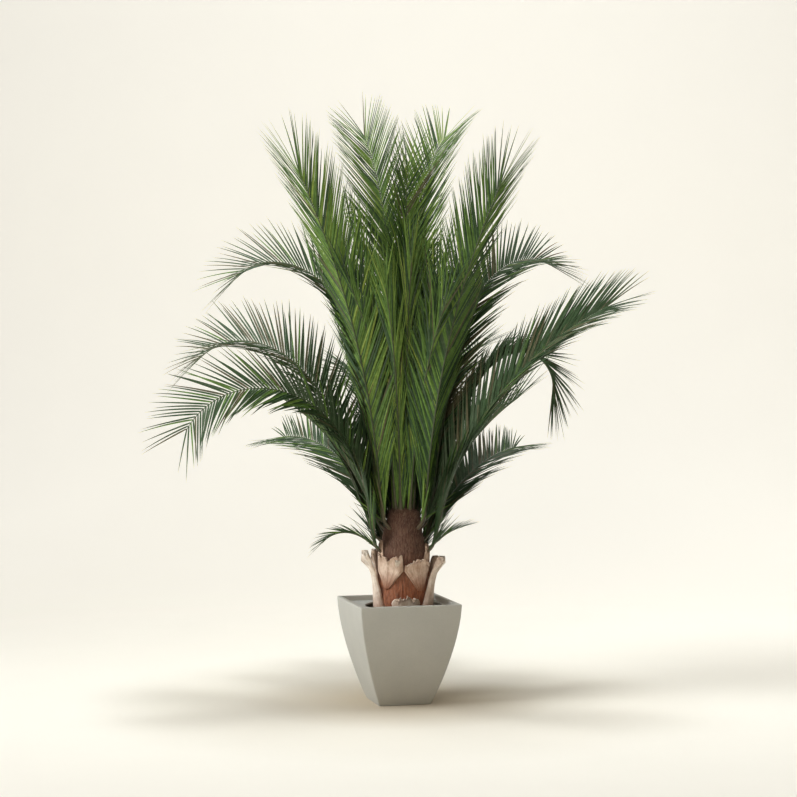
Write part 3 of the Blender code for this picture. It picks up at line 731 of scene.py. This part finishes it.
for name, turn, foot, rise, dip, late, length, roll, fold, sweep, leaflet, tones in FRONDS:
    rings = []
    marks = []
    for spot, along, across, face, s in rib_frames(turn, foot, rise, dip, late, length, roll):
        wide = rib_half_width(s, length)
        deep = (RIB_DEEP + (RIB_DEEP_TIP - RIB_DEEP) * s**THINNING) / 2
        ring = []
        for side in range(RIB_SIDES):
            angle = 2 * math.pi * side / RIB_SIDES
            lift = math.sin(angle)
            groove = GROOVE if lift > 0.9 else 1.0
            ring.append(spot + across * (wide * math.cos(angle)) + face * (deep * lift * groove))
            marks.append(s)
        rings.append(ring)
    rib = piece(name + "_rib", *loft(rings), rib_look)
    store = rib.data.attributes.new("along", "FLOAT", "POINT")
    store.data.foreach_set("value", marks)
    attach(rib, "root")

# Leaflets. Narrow blades in two close rows down each rib, creased along the middle, set forward
# and folded up from the rib, shorter towards both ends, each hanging a little at its tip.
BARE = 0.03
BARE_ON_TOP = 0.02
LEAFLET_STEP = 0.0124
LEAFLET_WIDE = 0.0102
LEAF_AT_FOOT = 0.60
LEAF_GROWING = 1.6
LEAF_AT_TIP = 0.78
LEAF_SHRINKING = 1.1
LEAF_UNEVEN = (0.90, 1.06)
LEAF_LIMP = (0.02, 0.09)
LIMP_LATE = 2.2
LEAF_SEAT = 0.7
NARROW_AT_TIP = 0.56
NARROW_WITHIN = 0.4
NARROWING = 1.1
BLADE_POINTS = (8, 3)
BLADE_AT_FOOT = 0.74
BLADE_FILLING = 2.2
BLADE_END = 1.02
BLADE_CREASE = 0.55
SWEEP_AT_FOOT = 0.40
SWEEP_OPENING = 1.7
SWEEP_CLOSING = 7.0
FOLD_CLOSING = 10.0
TIP_FROM = 0.97
TIP_CLOSING = 500.0
SCATTER = 2.8
LOOSE_SCATTER = 8.5
LOOSE_BELOW = 30
SEEDS_EACH = 200
SLIVER = 1e-6

# Fronds that differ from the rest: how many times as many leaflets, how many times as broad, and
# by how many degrees the leaflets lie closer to the rib.
PLAIN_HABIT = (1.0, 1.0, 0.0)
HABITS = {
    "frond_left_arch": (0.90, 1.15, 0.0),
    "frond_right_arch": (1.55, 1.20, 5.0),
    "frond_right_high": (1.25, 1.05, 0.0),
    "frond_right_tall": (1.30, 0.92, 6.0),
    "frond_left_tall": (1.30, 0.92, 5.0),
    "frond_top_right": (1.10, 0.85, 6.0),
    "frond_top_left": (1.15, 0.90, 3.0),
    "frond_right_droop": (1.20, 1.40, 5.0),
    "frond_right_low": (1.15, 1.05, 0.0),
    "frond_spray_right": (1.0, 0.75, 0.0),
    "frond_spray_left": (1.0, 0.75, 0.0),
}

# The greens mix real variation among the leaflets with painted light: the deep and shade greens are darker
# copies that paint shade on fronds low down, at the back and against the light, the dry olive also paints the
# grey of backlit leaflets, and the fresh and bright greens are lighter copies that paint light and
# highlights.
LEAF_TONES = {
    "palm_deep_green": (0.040, 0.080, 0.029),
    "palm_painted_shade_green": (0.064, 0.102, 0.048),
    "palm_green": (0.105, 0.192, 0.040),
    "palm_fresh_green_painted_light": (0.165, 0.262, 0.048),
    "palm_bright_green": (0.240, 0.320, 0.062),
    "palm_dry_olive_and_painted_shade": (0.115, 0.106, 0.054),
    "palm_straw": (0.330, 0.270, 0.100),
}
# For each kind of frond, the share of its leaflets that take each tone, in the order above. The darker kinds
# paint shade on fronds that lie in shadow or against the light, and the lighter kinds paint light on lit
# ones.
TONE_SHARES = {
    "shade": (0.40, 0.26, 0.06, 0.00, 0.00, 0.28, 0.00),
    "dusk_painted_shade": (0.60, 0.24, 0.04, 0.00, 0.00, 0.12, 0.00),
    "deep": (0.47, 0.29, 0.17, 0.02, 0.00, 0.05, 0.00),
    "green": (0.26, 0.18, 0.42, 0.11, 0.01, 0.02, 0.00),
    "fresh_painted_light": (0.12, 0.14, 0.44, 0.24, 0.04, 0.02, 0.00),
    "bright_painted_highlight": (0.10, 0.08, 0.34, 0.32, 0.14, 0.02, 0.00),
    "straw": (0.16, 0.14, 0.30, 0.16, 0.04, 0.08, 0.12),
}
FLECK_DARK = 0.72
FLECK_LIGHT = 1.35
LEAF_SHINE = 0.25
leaf_looks = []
for name, colour in LEAF_TONES.items():
    look, tree, shader = new_material(name, roughness=0.55)
    place = add(tree, "ShaderNodeTexCoord").outputs["Object"]
    fleck = noise(tree, place, scale=55.0, detail=3.0, rough=0.6)
    tint = ramp(tree, fleck, [(0.30, tuple(FLECK_DARK * c for c in colour)), (0.55, colour),
                              (0.80, tuple(FLECK_LIGHT * c for c in colour))])
    tree.links.new(tint, shader.inputs["Base Color"])
    shader.inputs["Specular IOR Level"].default_value = LEAF_SHINE
    relief(tree, shader, noise(tree, place, scale=420.0, detail=2.0), strength=0.15, distance=0.0004)
    leaf_looks.append(look)

tree, given = new_tree("leaflets_on_rib", Leaflets=90, Length=0.3, Width=0.012, Fold=34.0, Sweep=40.0,
                       Side=1.0, Scatter=2.4, Seed=1)


def luck(number):
    """A seed of its own for each random value on each row of leaflets."""
    return maths(tree, "ADD", given["Seed"], float(number))


path = add(tree, "GeometryNodeMeshToCurve", {"Mesh": given["Geometry"]})
stations = add(tree, "GeometryNodeCurveToPoints", {"Curve": path.outputs[0], "Count": given["Leaflets"]},
               mode="COUNT")
part = named(tree, "part")
jitter = maths(tree, "MULTIPLY", given["Scatter"], dice(tree, low=-1.0, high=1.0, seed=luck(21)))
last = maths(tree, "MAXIMUM", maths(tree, "SUBTRACT", part, TIP_FROM), 0.0)
last = maths(tree, "MULTIPLY", last, -TIP_CLOSING)
opened = maths(tree, "MINIMUM", maths(tree, "MULTIPLY_ADD", part, SWEEP_OPENING, SWEEP_AT_FOOT), 1.0)
spread = maths(tree, "MULTIPLY", maths(tree, "MULTIPLY_ADD", part, -SWEEP_CLOSING, given["Sweep"]), opened)
spread = maths(tree, "ADD", spread, maths(tree, "ADD", jitter, last))
spread = maths(tree, "RADIANS", spread)
tilt_up = maths(tree, "MULTIPLY_ADD", part, -FOLD_CLOSING, given["Fold"])
uneven = maths(tree, "MULTIPLY", given["Scatter"], dice(tree, low=-2.0, high=2.0, seed=luck(33)))
tilt_up = maths(tree, "RADIANS", maths(tree, "ADD", tilt_up, uneven))
ahead = named(tree, "ahead", "FLOAT_VECTOR")
across = vector(tree, "SCALE", named(tree, "across", "FLOAT_VECTOR"), scale=given["Side"])
upper = named(tree, "upper", "FLOAT_VECTOR")
outward = vector(tree, "ADD", vector(tree, "SCALE", across, scale=maths(tree, "COSINE", tilt_up)),
                 vector(tree, "SCALE", upper, scale=maths(tree, "SINE", tilt_up)))
aim = vector(tree, "ADD", vector(tree, "SCALE", ahead, scale=maths(tree, "COSINE", spread)),
             vector(tree, "SCALE", outward, scale=maths(tree, "SINE", spread)))
blade_up = vector(tree, "SUBTRACT", vector(tree, "SCALE", upper, scale=maths(tree, "COSINE", tilt_up)),
                  vector(tree, "SCALE", across, scale=maths(tree, "SINE", tilt_up)))
turned = add(tree, "FunctionNodeAxesToRotation", {"Primary Axis": aim, "Secondary Axis": blade_up},
             primary_axis="X", secondary_axis="Z")
rising = maths(tree, "MULTIPLY_ADD", part, LEAF_GROWING, LEAF_AT_FOOT)
falling = maths(tree, "MULTIPLY_ADD", maths(tree, "SUBTRACT", 1.0, part), LEAF_SHRINKING, LEAF_AT_TIP)
profile = maths(tree, "MINIMUM", maths(tree, "MINIMUM", rising, falling), 1.0)
reach = maths(tree, "MULTIPLY", profile, given["Length"])
reach = maths(tree, "MULTIPLY", reach, dice(tree, *LEAF_UNEVEN, seed=luck(45)))
stations = keep(tree, stations.outputs["Points"], "reach", reach)
stations = keep(tree, stations, "limp", dice(tree, *LEAF_LIMP, seed=luck(57)))
stations = keep(tree, stations, "tone", dice(tree, low=0.0, high=1.0, seed=luck(69)))
slim = maths(tree, "MINIMUM", maths(tree, "SUBTRACT", 1.0, part), NARROW_WITHIN)
slim = maths(tree, "MULTIPLY_ADD", slim, NARROWING, NARROW_AT_TIP)
breadth = maths(tree, "MULTIPLY", given["Width"], slim)
edge = vector(tree, "SCALE", across, scale=named(tree, "half"))
stations = add(tree, "GeometryNodeSetPosition", {"Geometry": stations, "Offset": edge}).outputs[0]
blade = add(tree, "GeometryNodeMeshGrid", {"Size X": 1.0, "Size Y": 1.0, "Vertices X": BLADE_POINTS[0],
            "Vertices Y": BLADE_POINTS[1]})
spot = add(tree, "ShaderNodeSeparateXYZ", {0: add(tree, "GeometryNodeInputPosition").outputs[0]})
run_x = maths(tree, "ADD", spot.outputs[0], 0.5)
belly = maths(tree, "MINIMUM", maths(tree, "MULTIPLY_ADD", run_x, BLADE_FILLING, BLADE_AT_FOOT), 1.0)
taper = maths(tree, "SUBTRACT", BLADE_END, maths(tree, "POWER", run_x, 2.0))
aside = maths(tree, "MULTIPLY", spot.outputs[1], maths(tree, "MULTIPLY", belly, taper))
crease = maths(tree, "MULTIPLY", maths(tree, "ABSOLUTE", aside), BLADE_CREASE)
blade = add(tree, "GeometryNodeSetPosition", {"Geometry": blade.outputs["Mesh"], "Position": add(
    tree, "ShaderNodeCombineXYZ", {0: run_x, 1: aside, 2: crease}).outputs[0]}).outputs[0]
run_kept = add(tree, "ShaderNodeSeparateXYZ", {0: add(tree, "GeometryNodeInputPosition").outputs[0]})
blade = keep(tree, blade, "run", run_kept.outputs[0])
scale = add(tree, "ShaderNodeCombineXYZ", {0: named(tree, "reach"), 1: breadth, 2: breadth})
leaves = add(tree, "GeometryNodeInstanceOnPoints", {"Points": stations, "Instance": blade,
             "Rotation": turned.outputs[0], "Scale": scale.outputs[0]})
real = add(tree, "GeometryNodeRealizeInstances", {"Geometry": leaves.outputs[0]}).outputs[0]
sag = maths(tree, "MULTIPLY", maths(tree, "MULTIPLY", named(tree, "reach"), named(tree, "limp")),
            maths(tree, "POWER", named(tree, "run"), LIMP_LATE))
fall = add(tree, "ShaderNodeCombineXYZ", {2: maths(tree, "MULTIPLY", sag, -1.0)})
real = add(tree, "GeometryNodeSetPosition", {"Geometry": real, "Offset": fall.outputs[0]}).outputs[0]
leaflet_trees = {}
for kind, shares in TONE_SHARES.items():
    copy = tree.copy()
    copy.name = "leaflets_" + kind
    dressed = copy.nodes[real.node.name].outputs[0]
    level = 0.0
    tone = named(copy, "tone")
    for look, share in zip(leaf_looks, shares):
        above = maths(copy, "GREATER_THAN", tone, level - SLIVER)
        dressed = add(copy, "GeometryNodeSetMaterial", {"Geometry": dressed, "Selection": above,
                      "Material": look}).outputs[0]
        level += share
    add(copy, "NodeGroupOutput", {"Geometry": dressed})
    leaflet_trees[kind] = copy

for number, frond in enumerate(FRONDS):
    name, turn, foot, rise, dip, late, length, roll, fold, sweep, leaflet, tones = frond
    bare = BARE_ON_TOP if foot > ON_TOP else BARE
    frames = rib_frames(turn, foot, rise, dip, late, length, roll)
    leafy = [entry for entry in frames if entry[4] >= bare]
    guide = bpy.data.meshes.new(name + "_line")
    guide.from_pydata([tuple(entry[0]) for entry in leafy], [(i, i + 1) for i in range(len(leafy) - 1)], [])
    for label, column in (("ahead", 1), ("across", 2), ("upper", 3)):
        store = guide.attributes.new(label, "FLOAT_VECTOR", "POINT")
        store.data.foreach_set("vector", np.array([entry[column] for entry in leafy], np.float32).ravel())
    for label, values in (
        ("part", [(entry[4] - bare) / (1 - bare) for entry in leafy]),
        ("half", [LEAF_SEAT * rib_half_width(entry[4], length) for entry in leafy]),
    ):
        store = guide.attributes.new(label, "FLOAT", "POINT")
        store.data.foreach_set("value", values)
    more, broader, closer = HABITS.get(name, PLAIN_HABIT)
    halves = []
    for side in (-1.0, 1.0):
        halves.append(grown(name + "_leaflets", guide.copy(), leaflet_trees[tones], {
            "Leaflets": round(more * length * (1 - bare) / LEAFLET_STEP),
            "Length": leaflet,
            "Width": LEAFLET_WIDE * broader,
            "Fold": float(fold),
            "Sweep": sweep - closer,
            "Side": side,
            "Scatter": LOOSE_SCATTER if sweep < LOOSE_BELOW else SCATTER,
            "Seed": SEEDS_EACH * number + (SEEDS_EACH // 2 if side > 0 else 0),
        }))
    with bpy.context.temp_override(active_object=halves[0], selected_editable_objects=halves):
        bpy.ops.object.join()
    leaves_piece = halves[0]
    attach(leaves_piece, "root")
    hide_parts(name)

# Studio. A warm pale sweep of paper behind and under the palm, with a painted shadow that makes it darker
# and browner by the planter and a painted glow that brightens it far from it, with a strong soft light
# above, weaker ones at the left and in front, and faint warm light all round.
PAPER = (0.930, 0.896, 0.807)
PAPER_DULL = 0.99
PAPER_BODY = 0.85
# Painted shadow: the paper's colour by the planter, darker and browner, stands for the palm's shadow.
PAINTED_SHADOW_NEAR_POT = (0.56, 0.50, 0.42)
NEAR_LEFT = 0.26
GLOW_NEAR = 0.03
GLOW_FAR = (0.370, 0.384, 0.412)
GLOW_BETWEEN = 0.62
SWEEP_SIZE = 9.0
SWEEP_BELOW = 0.0004
BEND_FROM = 3.2
BEND_RADIUS = 2.2
BEND_STEPS = 12
AIR_COLOUR = (1.0, 0.86, 0.70, 1.0)
AIR_STRENGTH = 0.185
paper, tree, shader = new_material("paper_sweep", roughness=0.95)
place = add(tree, "ShaderNodeTexCoord").outputs["Object"]
dull = tuple(PAPER_DULL * c for c in PAPER)
tone = ramp(tree, noise(tree, place, scale=3.0, detail=3.0), [(0.3, dull), (0.7, PAPER)])
away = add(tree, "ShaderNodeVectorMath", {0: place}, operation="LENGTH").outputs["Value"]
near = add(tree, "ShaderNodeMapRange", {"Value": away, "From Min": 0.15, "From Max": 1.25}).outputs[0]
# Painted shadow: the paper's colour darkens and browns towards the planter.
between = tuple(NEAR_LEFT * c + (1 - NEAR_LEFT) * PAPER_BODY for c in PAINTED_SHADOW_NEAR_POT)
body = ramp(tree, near, [(0.0, PAINTED_SHADOW_NEAR_POT), (0.42, between), (1.0, (PAPER_BODY,) * 3)])
tree.links.new(mix(tree, ALL, tone, body, "MULTIPLY"), shader.inputs["Base Color"])
# Painted light: the paper glows, faintly by the planter and more the farther it is from it.
away = add(tree, "ShaderNodeMapRange", {"Value": away, "From Min": 1.0, "From Max": 5.0}).outputs[0]
between = tuple(GLOW_BETWEEN * c for c in GLOW_FAR)
glow = ramp(tree, away, [(0.0, (GLOW_NEAR,) * 3), (0.5, between), (1.0, GLOW_FAR)])
tree.links.new(mix(tree, ALL, tone, glow, "MULTIPLY"), shader.inputs["Emission Color"])
shader.inputs["Emission Strength"].default_value = 1.0
shader.inputs["Specular IOR Level"].default_value = 0.0
back = Vector((math.sin(math.radians(VIEW_TURN)), -math.cos(math.radians(VIEW_TURN)), 0.0))
right = Vector((-back.y, back.x, 0.0))
rows = [(-SWEEP_SIZE, 0.0), (0.0, 0.0), (BEND_FROM, 0.0)]
for step in range(1, BEND_STEPS + 1):
    angle = math.radians(90 * step / BEND_STEPS)
    rows.append((BEND_FROM + BEND_RADIUS * math.sin(angle), BEND_RADIUS * (1 - math.cos(angle))))
rows.append((BEND_FROM + BEND_RADIUS, SWEEP_SIZE))
points = []
for depth, height in rows:
    for side in (-SWEEP_SIZE, SWEEP_SIZE):
        points.append(-back * depth + right * side + Vector((0.0, 0.0, height - SWEEP_BELOW)))
faces = [(2 * i, 2 * i + 1, 2 * i + 3, 2 * i + 2) for i in range(len(rows) - 1)]
sweep_piece = piece("paper_sweep", points, faces, paper)


def soft_light(name, to_right, to_view, height, target, size, power, colour, spread):
    """A square soft light aimed at a height over the origin, its beam this many degrees wide."""
    lamp = bpy.data.lights.new(name, "AREA")
    lamp.size = size
    lamp.energy = power
    lamp.color = colour
    lamp.spread = math.radians(spread)
    made = bpy.data.objects.new(name, lamp)
    scene.collection.objects.link(made)
    spot = right * to_right + back * to_view + Vector((0.0, 0.0, height))
    made.location = spot
    made.rotation_euler = (spot - Vector((0.0, 0.0, target))).to_track_quat("Z", "Y").to_euler()


soft_light("light_left", to_right=-5.2, to_view=1.8, height=4.4, target=0.9, size=3.4, power=44,
           colour=(0.95, 0.99, 1.02), spread=46)
soft_light("light_front", to_right=-1.5, to_view=6.5, height=3.0, target=1.4, size=2.5, power=10,
           colour=(1.0, 0.95, 0.84), spread=50)
soft_light("light_above", to_right=0.35, to_view=-0.35, height=8.0, target=0.8, size=1.9, power=372,
           colour=(0.97, 1.0, 1.02), spread=180)
air = bpy.data.worlds.new("air")
air.use_nodes = True
air.node_tree.nodes["Background"].inputs[0].default_value = AIR_COLOUR
air.node_tree.nodes["Background"].inputs[1].default_value = AIR_STRENGTH
scene.world = air
scene.view_settings.view_transform = "Standard"
